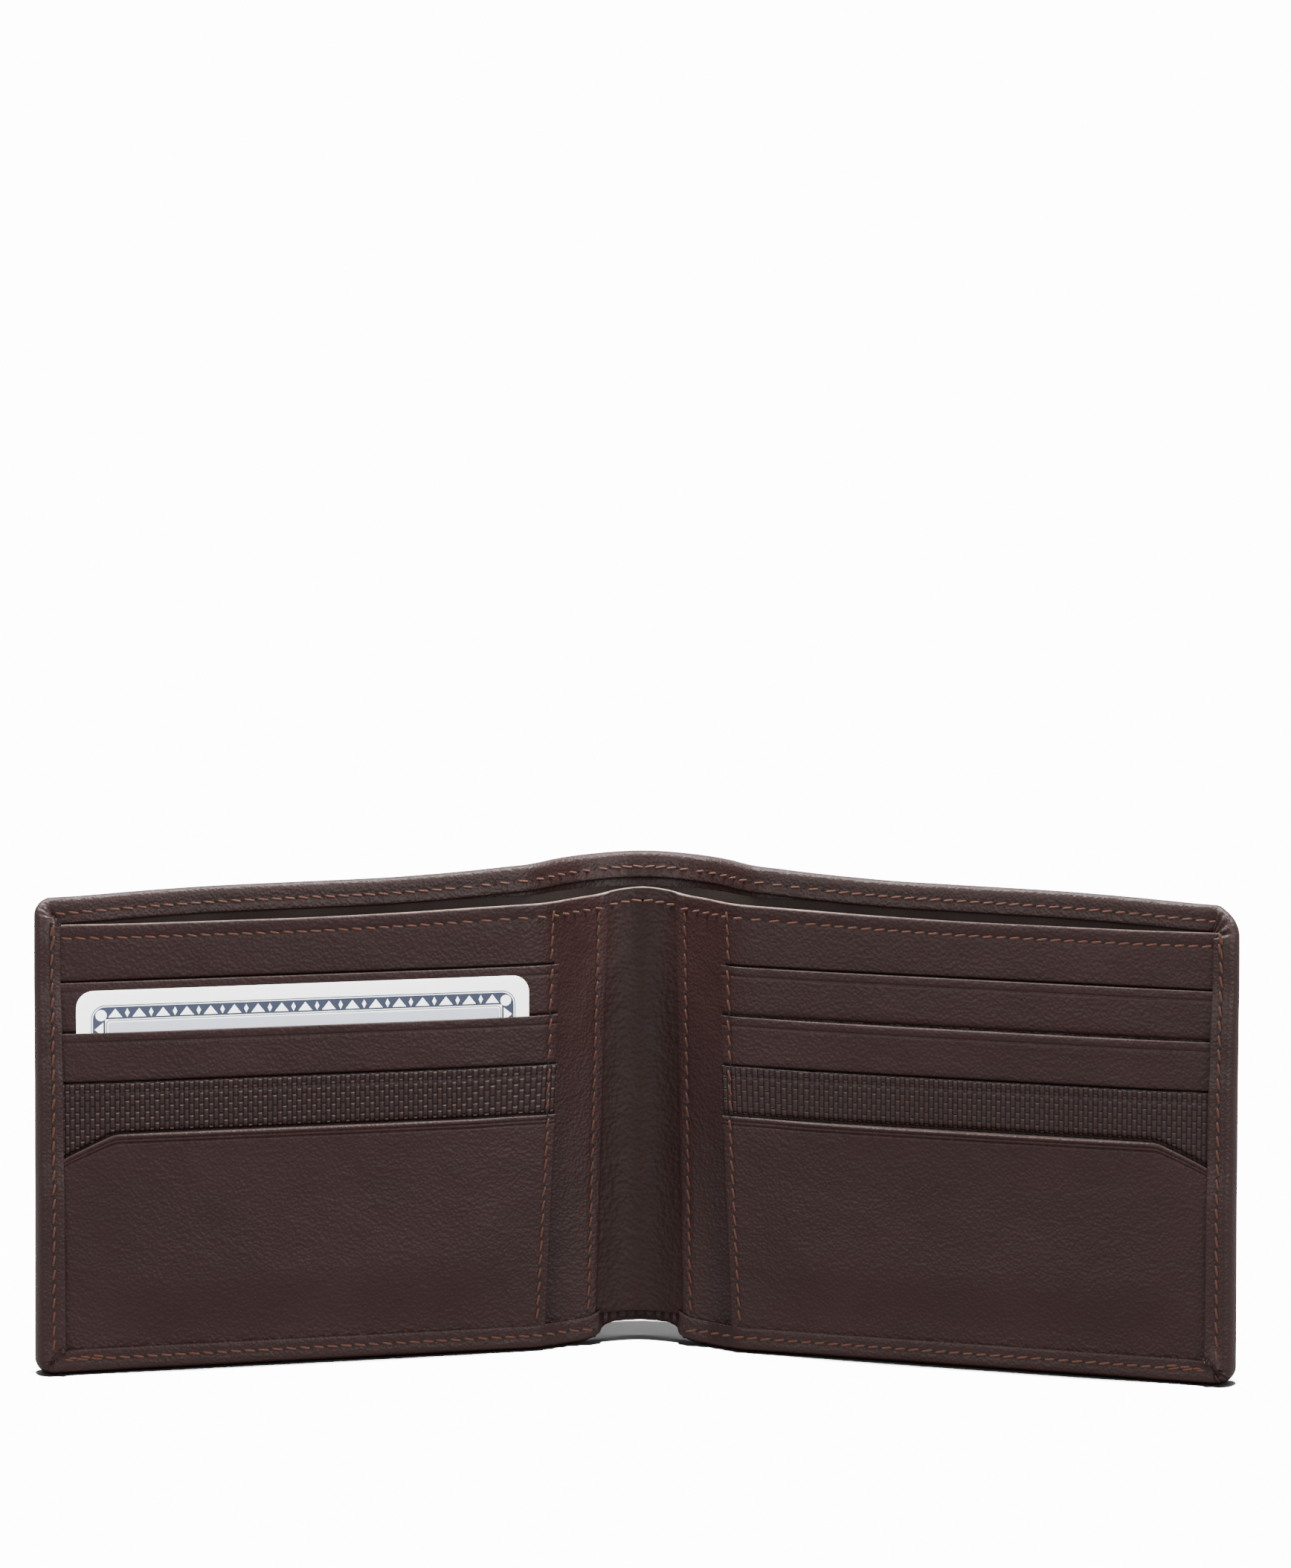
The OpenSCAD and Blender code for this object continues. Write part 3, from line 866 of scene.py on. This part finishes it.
def spine_strip(side):
    """Half of the strip across the spine, which runs under the edge of the inner panel."""
    def top_seam(a, e):
        return -groove(e - PANEL_SEAM, 0.45, 0.14)

    strip = layer(f"{side}_spine_inner_leather", side, spine_leather, "spine_leather",
                  (MIDDLE, PANEL_END + 2.4), (5.6, PANEL_TOP - 0.02), STRIP_FRONT, -0.5, in_front,
                  top=panel_drop, relief=top_seam, step=0.8, near_z=(PANEL_SEAM,), soft=0.3,
                  shine=panel_shine(side))
    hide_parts("spine_inner_leather")
    bend(strip)
    backing = layer(f"{side}_spine_inner_lining_cloth", side, lining, "lining_fabric",
                    (MIDDLE, PANEL_END + 2.2), (5.8, 83), -0.54, -0.8, in_front, top=panel_drop, step=0.8)
    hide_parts("spine_inner_lining")
    bend(backing)

# ---- stitches ----

def thread_mesh(middle, normal, along, length, slant):
    """Points and faces of one stitch: three plies twisted together, dipping in at both ends."""
    across = np.cross(normal, along)
    steps, around = 11, 10
    t = np.linspace(-1, 1, steps)[:, None]
    turn = np.linspace(0, 2 * math.pi, around, endpoint=False)[None, :]
    taper = np.sqrt(np.clip(1 - np.abs(t) ** 5, 0, 1)) * 0.9 + 0.1
    ply = 0.84 + 0.2 * np.abs(np.cos(1.5 * (turn - t * 4.6)))
    radius = THREAD_R * taper * ply
    height = THREAD_R * 0.75 * (1 - np.abs(t) ** 4) - THREAD_R * 0.35
    offset = t * slant
    flat = radius * np.cos(turn) + offset
    up = radius * np.sin(turn) * 0.8 + height
    run = t * length / 2 + 0 * turn
    points = middle + METRE * (run[..., None] * along + flat[..., None] * across + up[..., None] * normal)
    faces = tube_faces(steps, around)
    faces.append(list(range(around))[::-1])
    faces.append(list(range((steps - 1) * around, steps * around)))
    return points.reshape(-1, 3), faces


def hole_mesh(middle, normal, along):
    """Points and faces of a needle hole between two stitches: a dark disc, the hole with its shade
    painted in.
    """
    across = np.cross(normal, along)
    turn = np.linspace(0, 2 * math.pi, 10, endpoint=False)[:, None]
    ring = HOLE_R[0] * np.cos(turn) * along + HOLE_R[1] * np.sin(turn) * across
    low = middle + METRE * (ring - 0.10 * normal)
    top = middle + METRE * (0.9 * ring + 0.035 * normal)
    points = np.concatenate([low, top])
    faces = tube_faces(2, 10)
    faces.append(list(range(10, 20)))
    faces.append(list(range(10))[::-1])
    return points, faces


def on_row(side, row, share, lift):
    """A point at this share of a row of stitches, lifted off its surface."""
    start, finish, surface, rise = row
    a, z = np.array(start, float) + np.subtract(finish, start) * share
    z += rise(lean(a, z))
    along = lean(a, z)
    return place(side, along, z, surface(along, z) + lift)


def row_frame(side, row, share):
    """Place, outward direction and running direction at this share of a row of stitches."""
    here = on_row(side, row, share, 0)
    out = on_row(side, row, share, -0.3) - here
    along = on_row(side, row, share + 0.01, 0) - here
    normal = out / np.linalg.norm(out)
    along = along - normal * (along @ normal)
    return here, normal, along / np.linalg.norm(along)


def sew(name, side, rows, replaced, end=None):
    """Sews the rows. Each has its start and end as (a, z), a function for its surface's w, and one
    for how far it rises at a."""
    threads, holes = [], []
    for number, row in enumerate(rows):
        count = max(1, round(np.linalg.norm(np.subtract(row[1], row[0])) / STITCH_PITCH))
        for i in range(count + 1):
            holes.append(hole_mesh(*row_frame(side, row, i / count)))
            if i < count:
                wobble = 0.04 * math.sin(i * 7.3 + number * 2.1)
                frame_at = row_frame(side, row, (i + 0.5) / count)
                threads.append(thread_mesh(*frame_at, STITCH + wobble * 3, 0.18 * SIDES[side] + wobble))
    sewn = made(f"{side}_{name}_thread", *joined(threads), thread, "thread")
    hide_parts(*replaced)
    pierced = made(f"{side}_{name}_needle_holes", *joined(holes), needle_hole_shade, "lining_fabric")
    for piece in (sewn, pierced):
        if end:
            bend(piece)
        else:
            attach(piece, f"{side}_leaf")


def on_layer(depth, sunk=0.06):
    """The surface of a layer in the pocket stack, into which the thread sinks."""
    def surface(along, z):
        return in_front(along, z, depth) + sunk
    return surface


def on_side_hem(along, z):
    return sway(LEAF, z) - stack_at(z) - HEM_T + SUNK


def on_bottom_hem(along, z):
    return behind(along, 0 * z, SHELL_T) - bottom_thick(along) + SUNK


def on_top_hem(along, z):
    return behind(along, z, SHELL_T) - TOP_T + SUNK


def level(a):
    return 0


def with_panel(a):
    return -panel_drop(a)


def with_crown(a):
    return crown(a) - HEIGHT


def hem_seam(side):
    """The seam round the leaf's hem, doubled by two of its corners."""
    across = LEAF - HEM_SEAM
    corner = 1.5
    high = HEIGHT - HEM_SEAM
    sew("hem_stitching", side, [
        ((across, HEM_SEAM + corner), (across, high - corner - 1), on_side_hem, level),
        ((1.5, HEM_SEAM), (across - corner, HEM_SEAM), on_bottom_hem, level),
        ((across - 9.6, HEM_SEAM + 0.5), (across - 2.2, HEM_SEAM + 0.3), on_bottom_hem, level),
        ((across - 0.4, HEIGHT - 9.5), (across - 0.3, HEIGHT - 5.6), on_side_hem, level),
    ], [f"{side}_hem_stitching"])
    sew("mouth_stitching", side, [((MIDDLE, high), (across - corner, high), on_top_hem, with_crown)],
        ["spine_hem_stitching"], end=SHELL_BEND)


def panel_seams(side):
    """The seam along the panel's top edge, which runs on across the spine."""
    high = PANEL_TOP - PANEL_SEAM
    start = PANEL_END + 0.6
    panel = on_layer(PANEL_FRONT)
    sew("panel_top_stitching", side, [((start, high), (LEAF - SIDE_HEM, high), panel, with_panel)],
        [f"{side}_panel_top_stitching"])
    sew("spine_top_stitching", side, [((MIDDLE, high), (start, high), on_layer(STRIP_FRONT), with_panel)],
        ["spine_top_stitching"], end=STRIP_BEND)


def upright_seams(side):
    """The seam up the pockets' side, over each pocket in turn, and the seam beside the spine."""
    tops = POCKET_TOPS
    seam = POCKET_SEAM
    panel = on_layer(PANEL_FRONT)
    rows = [((seam, tops[0] + 0.6), (seam, PANEL_TOP - 1.2), panel, level)]
    for i in (1, 2, 3):
        front = on_layer(pocket_front(i) + 0.05)
        rows.append(((seam, tops[i] + 0.4), (seam, tops[i - 1] - 0.4), front, level))
    rows.append(((seam, BOTTOM_HEM + 0.9), (seam, tops[3] - 0.4), on_layer(FRONT_FACE, 0.08), level))
    sew("pocket_side_stitching", side, rows, [f"{side}_pocket_side_stitching"])
    high = PANEL_TOP - PANEL_SEAM
    sew("spine_side_stitching", side, [((SPINE_SEAM, 6.2), (SPINE_SEAM, high), panel, level)],
        [f"{side}_spine_side_stitching"])


def base_threads(side):
    """Threads through the stack at the foot of each pocket."""
    turn = np.linspace(0, 2 * math.pi, 8, endpoint=False)
    faces = tube_faces(2, 8) + [list(range(8))[::-1], list(range(8, 16))]
    threads = []
    for i in (1, 2, 3):
        ring_z = max(POCKET_TOPS[i - 1] - POCKET_DEPTH, BOTTOM_HEM) - 0.3 + 0.2 * np.sin(turn)
        for a in np.arange(POCKET_SEAM + 2, LEAF - SIDE_HEM - 2, 5.2):
            ring_a = a + 0.2 * np.cos(turn)
            rings = [place(side, ring_a, ring_z, in_front(ring_a, ring_z, depth))
                     for depth in (PANEL_FRONT, pocket_front(i))]
            threads.append((np.concatenate(rings), faces))
    name = f"{side}_pocket_base_stitching"
    piece = made(f"{name}_thread", *joined(threads), thread, "thread")
    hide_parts(name)
    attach(piece, f"{side}_leaf")


# ---- the card ----

# The card's size, its lower inner corner on the leaf, and the loose depths of its faces
CARD = (85.6, 54.0)
CARD_LOW = (14.1, 17.05)
CARD_DEPTHS = (3.24, 2.54)
BAND_START = 3.05
BAND_WIDE = 2.25
BAND_MIDDLE = BAND_START + BAND_WIDE / 2


def card_outline(inset, radius):
    """Points round the card at this distance in from its edge, from its middle."""
    centre = np.array(CARD) / 2 - inset - radius
    corners = []
    for quarter, signs in enumerate(((1, 1), (-1, 1), (-1, -1), (1, -1))):
        turn = (quarter + np.linspace(0, 1, 9)) * math.pi / 2
        corners.append(centre * signs + radius * np.stack([np.cos(turn), np.sin(turn)], -1))
    return np.concatenate(corners)


def on_card(flat, depth):
    """Points of the card in the shared frame."""
    a = flat[:, 0] + CARD_LOW[0] + CARD[0] / 2
    z = flat[:, 1] + CARD_LOW[1] + CARD[1] / 2
    return place("left", a, z, in_front(a, 0 * z + 44, depth))


def card_ring(name, inset, width, radius, material):
    """A printed line round the card."""
    outer = card_outline(inset, radius)
    inner = card_outline(inset + width, max(radius - width, 0.01))
    depth = CARD_DEPTHS[0] + 0.012
    points = np.concatenate([on_card(outer, depth), on_card(inner, depth)])
    return made(name, points, tube_faces(2, len(outer)), material, "card_plastic")


def card_blank():
    """The card itself, with rounded corners and edges."""
    columns = []
    for inset, share in ((0.0, 0), (0.02, 0.5), (0.08, 0.85), (0.2, 1), (1.2, 1)):
        columns.append((card_outline(inset, 3.18 - inset), share))
    middle = sum(CARD_DEPTHS) / 2
    half = abs(CARD_DEPTHS[0] - CARD_DEPTHS[1]) / 2
    rings = [on_card(flat, middle + half * share) for flat, share in columns[::-1]]
    rings += [on_card(flat, middle - half * share) for flat, share in columns[1:]]
    n = len(rings[0])
    faces = tube_faces(len(rings), n)
    faces.append(list(range(n)))
    faces.append([(len(rings) - 1) * n + i for i in range(n)][::-1])
    blank = made("card_plastic", np.concatenate(rings), faces, plastic, "card_plastic")
    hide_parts("card")
    return blank


def card():
    """A plain white card with a generic printed border of triangles."""
    pieces = [
        card_blank(),
        card_ring("card_outer_line", 2.7, 0.16, 2.6, print_blue),
        card_ring("card_band", BAND_START, BAND_WIDE, 2.3, print_blue),
        card_ring("card_inner_line", 5.5, 0.12, 0.8, print_blue),
        card_ring("card_wash", 5.9, 3.6, 0.6, print_wash),
        card_triangles(),
    ]
    for piece in pieces:
        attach(piece, "card")
    return pieces


def border_shapes():
    """Corners of the triangles and diamonds along the four sides of the printed band."""
    shapes = []
    reach = 0.8
    for along, across in ((0, 1), (1, 0)):
        half = CARD[along] / 2 - 7.2
        count = 2 * int(half / 2.1)
        for i in range(count + 1):
            s = -half + 2 * half * i / count
            for edge in (-1, 1):
                t = edge * (CARD[across] / 2 - BAND_MIDDLE)
                base = t - edge * reach
                corners = [(s - 1.3, base), (s + 1.3, base), (s, t + edge * reach)]
                if i % 2:
                    corners = [(s - 0.42, t), (s, t - reach), (s + 0.42, t), (s, t + reach)]
                shapes.append([c if along == 0 else c[::-1] for c in corners])
    return shapes


def corner_discs():
    """Outlines of the discs in the corners of the printed band."""
    turn = np.linspace(0, 2 * math.pi, 12, endpoint=False)
    disc = 1.05 * np.stack([np.cos(turn), np.sin(turn)], -1)
    centre = np.array(CARD) / 2 - BAND_MIDDLE - 0.4
    return [disc + centre * (sign_a, sign_z) for sign_a in (-1, 1) for sign_z in (-1, 1)]


def card_triangles():
    """The white shapes printed on the band."""
    depth = CARD_DEPTHS[0] + 0.024
    parts = [(on_card(np.array(shape), depth), [list(range(len(shape)))])
             for shape in border_shapes() + corner_discs()]
    return made("card_triangles", *joined(parts), plastic, "card_plastic")

# ---- build ----

for side in SIDES:
    leaf_layers(side)
    shell(side)
    compartment_wall(side)
    spine_strip(side)
    hem_seam(side)
    panel_seams(side)
    upright_seams(side)
    base_threads(side)
card_pieces = card()


# ---- floor, light and camera ----

# Brightness that shows as white, power of the table's light, and how much of it the table throws back
WHITE = 14
TABLE_LIGHT = 900
THROWN_BACK = 0.0026


def seen_as(tree, seen_value, lit_value):
    """A value that differs between what the camera sees and what lights the wallet."""
    path = tree.nodes.new("ShaderNodeLightPath")
    return ranged(tree.nodes, tree.links, path.outputs["Is Camera Ray"], lit_value, seen_value)


def floor():
    """A table under a light of its own, which is so strong that the table looks white. It throws
    little of that light back at the wallet."""
    bpy.ops.mesh.primitive_plane_add(size=60, location=(0, 25.0, 0))
    plane = bpy.context.object
    plane.name = "floor"
    material, nodes, links, principled = shader("floor")
    nodes.remove(principled)
    paint = nodes.new("ShaderNodeBsdfDiffuse")
    grey = seen_as(material.node_tree, math.pi * WHITE / TABLE_LIGHT, THROWN_BACK)
    links.new(grey, paint.inputs["Color"])
    links.new(paint.outputs[0], nodes["Material Output"].inputs["Surface"])
    plane.data.materials.append(material)
    light_floor(plane)


def light_only(lamp, pieces):
    """Lets a lamp light these pieces and nothing else."""
    receivers = bpy.data.collections.new(f"lit by the {lamp.name}")
    for piece in pieces:
        receivers.objects.link(piece)
    lamp.light_linking.receiver_collection = receivers


def aimed(data, travel):
    """A lamp whose light goes in the direction of travel."""
    lamp = bpy.data.objects.new(data.name, data)
    bpy.context.scene.collection.objects.link(lamp)
    lamp.rotation_mode = "QUATERNION"
    lamp.rotation_quaternion = travel.to_track_quat("-Z", "Y")
    return lamp


def light_floor(plane):
    """A light from straight above for the floor."""
    data = bpy.data.lights.new("table light", "SUN")
    data.energy = TABLE_LIGHT
    data.angle = math.radians(3)
    light_only(aimed(data, Vector((0, -0.002, -1))), [plane])


def area_light(name, position, aim, size, power):
    """A rectangular lamp, size metres across and up, that is aimed at a place."""
    data = bpy.data.lights.new(name, "AREA")
    data.shape = "RECTANGLE"
    data.size, data.size_y = size
    data.energy = power
    lamp = aimed(data, Vector(aim) - Vector(position))
    lamp.location = position
    return lamp


floor()
world = bpy.data.worlds.new("studio")
world.use_nodes = True
world.node_tree.nodes["Background"].inputs["Color"].default_value = (1, 1, 1, 1)
strength = world.node_tree.nodes["Background"].inputs["Strength"]
world.node_tree.links.new(seen_as(world.node_tree, WHITE, 0.7), strength)
bpy.context.scene.world = world
centre = (0, 0, 0.045)
area_light("back light", (0, 0.9, 0.7), centre, (1.4, 0.5), 5)
area_light("top light", (0, 0.14, 0.95), (0, 0.03, 0.05), (1.8, 0.15), 62)
area_light("left light", (-0.7, -1.2, 0.5), centre, (0.9, 0.7), 11)
area_light("right light", (0.9, -1.0, 0.5), centre, (0.9, 0.7), 14)
card_light = area_light("card light", (-0.4, -1.2, 0.5), centre, (0.9, 0.7), 52)
light_only(card_light, card_pieces)

ELEVATION = math.radians(9.83)
TURN = math.radians(1.88)
DISTANCE = 1.195
LENS = 145.63
TARGET = Vector((0.0, 0.0127, 0.0445))
# The camera looks over the wallet, which stands low in the frame
AIM_UP = math.radians(2.951)
AIM_ACROSS = math.radians(-0.044)
ROLL = math.radians(0.13)

back = Vector((math.sin(TURN) * math.cos(ELEVATION), -math.cos(TURN) * math.cos(ELEVATION),
               math.sin(ELEVATION)))
camera_data = bpy.data.cameras.new("camera")
camera_data.sensor_width = 36
camera_data.lens = LENS
camera = bpy.data.objects.new("camera", camera_data)
bpy.context.scene.collection.objects.link(camera)
bpy.context.scene.camera = camera
camera.location = TARGET + back * DISTANCE
look = (-back).to_track_quat("-Z", "Y").to_matrix().to_4x4()
for angle, axis in ((AIM_UP, "X"), (AIM_ACROSS, "Y"), (ROLL, "Z")):
    look = look @ Matrix.Rotation(angle, 4, axis)
camera.rotation_mode = "QUATERNION"
camera.rotation_quaternion = look.to_quaternion()
